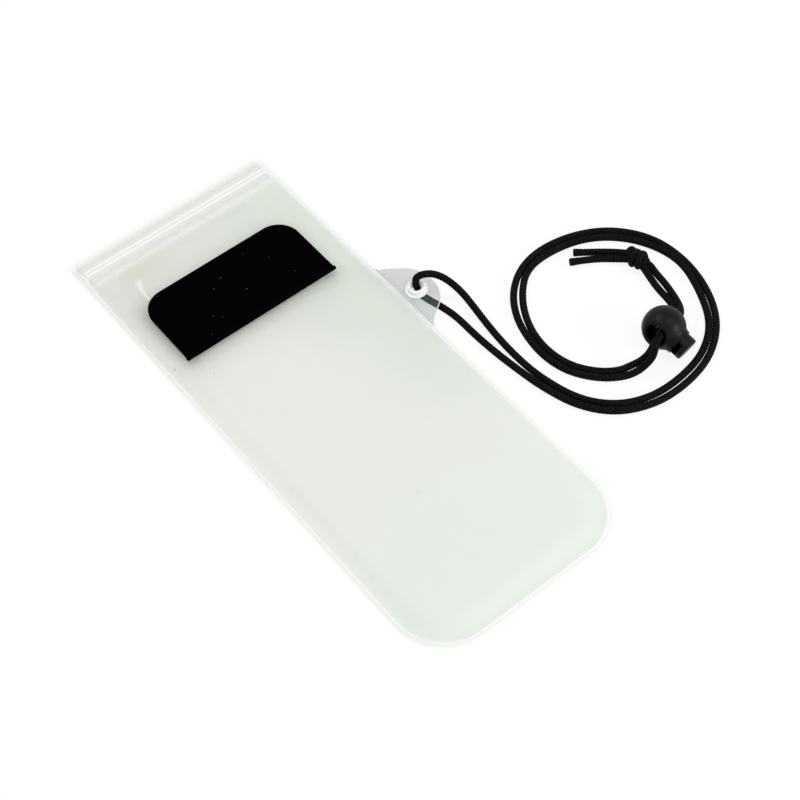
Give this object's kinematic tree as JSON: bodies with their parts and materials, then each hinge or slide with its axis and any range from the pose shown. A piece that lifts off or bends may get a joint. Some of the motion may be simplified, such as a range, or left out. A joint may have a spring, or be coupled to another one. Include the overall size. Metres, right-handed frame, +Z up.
{
  "type": "waterproof phone pouch",
  "caption": "Clear film pouch with a press zip, a hinged closure flap and an eyelet tab that carries a doubled neck cord with a sliding cord lock.",
  "frame": {"origin": "middle of the pouch's flat underside", "axes": "+Y towards the zip and mouth, +X towards the eyelet tab, +Z up from the surface the pouch lies on"},
  "size_m": [0.2077, 0.25, 0.0184],
  "materials": {
    "film": "frosted translucent, pale grey-green",
    "zip": "satin translucent, pale grey-green",
    "flap": "glossy black with a little dust",
    "eyelet": "satin milky white",
    "lock": "satin black",
    "spring": "drawn wire",
    "cord": "fine braided black"
  },
  "bodies": {
    "case": {"back_sheet": "film", "front_sheet": "film", "zip_rib_strip": "zip", "zip_groove_strip": "zip", "eyelet_collar": "eyelet", "eyelet_washer": "eyelet", "cord_lock_body": "lock", "cord_lock_spring": "spring", "neck_cord_upper": "cord", "neck_cord_lower": "cord", "cord_tail_long": "cord", "cord_tail_short": "cord", "cord_knot": "cord"},
    "flap": {"closure_flap": "flap"},
    "plunger": {"cord_lock_plunger": "lock"}
  },
  "joints": [
    {"name": "flap_hinge", "type": "hinge", "parent": "case", "child": "flap", "pos_m": [-0.0022, 0.0477, 0.00525], "axis": [1, 0, 0], "range_deg": [0, 170]},
    {"name": "plunger_press", "type": "slide", "parent": "case", "child": "plunger", "axis": [-0.1165, 0.9489, 0.2932], "range_m": [0, 0.0028], "stiffness_N_per_m": 1200, "springref_m": -0.003, "deforming": ["cord_lock_spring"]}
  ]
}
